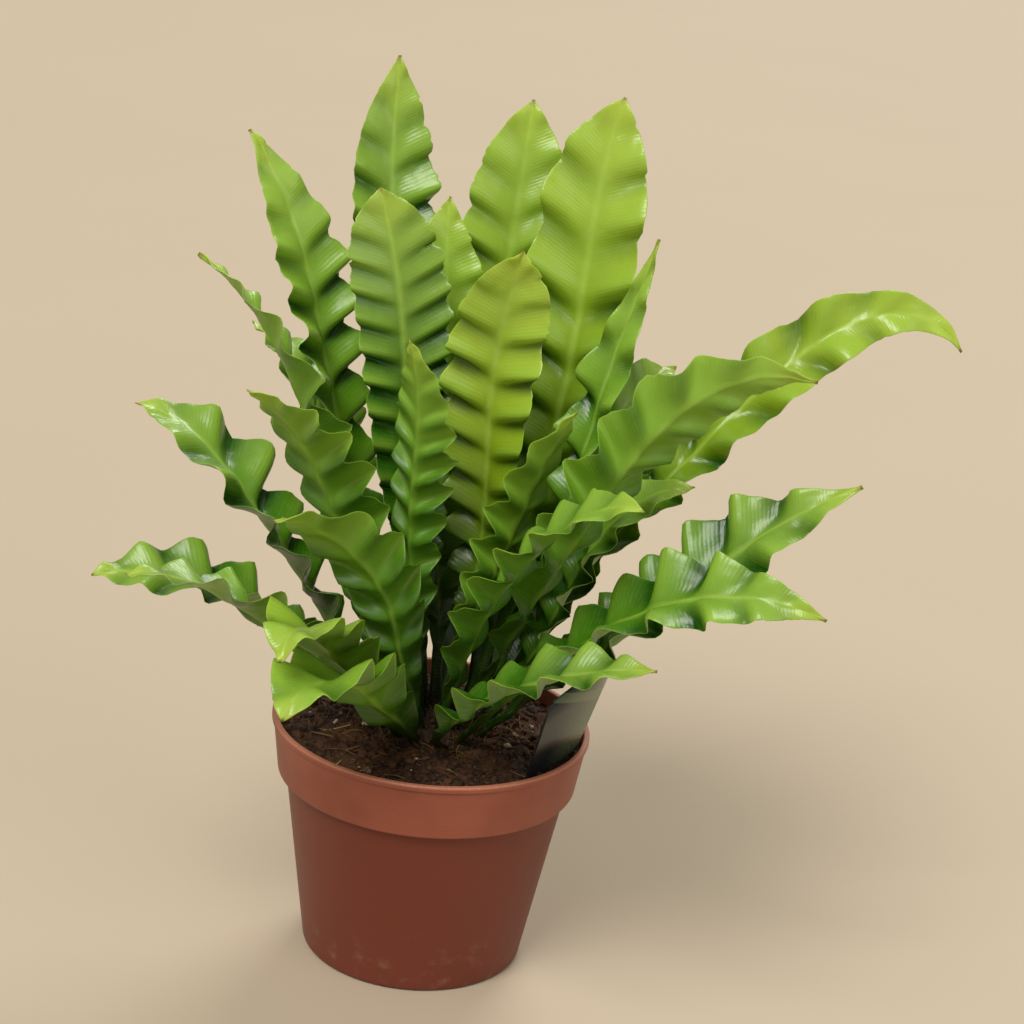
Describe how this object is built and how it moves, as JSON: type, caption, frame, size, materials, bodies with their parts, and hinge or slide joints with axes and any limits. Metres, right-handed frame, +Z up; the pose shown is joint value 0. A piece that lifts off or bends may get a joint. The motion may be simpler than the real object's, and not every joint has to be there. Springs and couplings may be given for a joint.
{
  "type": "potted crispy wave bird's nest fern",
  "caption": "Fern with a rosette of tall, strap-shaped fronds with tightly waved edges, in soil in a round tapered pot with a deep rim band and a plain plant label.",
  "frame": {"origin": "centre of the pot's base, on the surface that the pot stands on", "axes": "+Z up along the pot's axis; +X to the right and +Y away from someone who looks at the plant from the front"},
  "size_m": [0.3071, 0.2222, 0.3302],
  "materials": {
    "pot": "satin moulded terracotta-coloured plastic",
    "soil": "moist fibrous peat, dull",
    "crown": "scaly rootstock, dull",
    "label": "smooth printed plastic sheet with a plain colour gradient",
    "frond": "glossy leathery leaf, paler and duller underneath"
  },
  "bodies": {
    "root": {"pot": "pot", "soil": "soil", "crown": "crown", "plant_label": "label", "frond_01": "frond", "frond_02": "frond", "frond_03": "frond", "frond_04": "frond", "frond_05": "frond", "frond_06": "frond", "frond_07": "frond", "frond_08": "frond", "frond_09": "frond", "frond_10": "frond", "frond_11": "frond", "frond_12": "frond", "frond_13": "frond", "frond_14": "frond", "frond_15": "frond", "frond_16": "frond", "frond_17": "frond", "frond_18": "frond", "frond_19": "frond", "frond_20": "frond", "frond_21": "frond", "frond_22": "frond", "frond_23": "frond", "frond_24": "frond", "frond_25": "frond", "frond_26": "frond", "frond_27": "frond", "frond_28": "frond", "frond_29": "frond", "frond_30": "frond"}
  },
  "joints": []
}
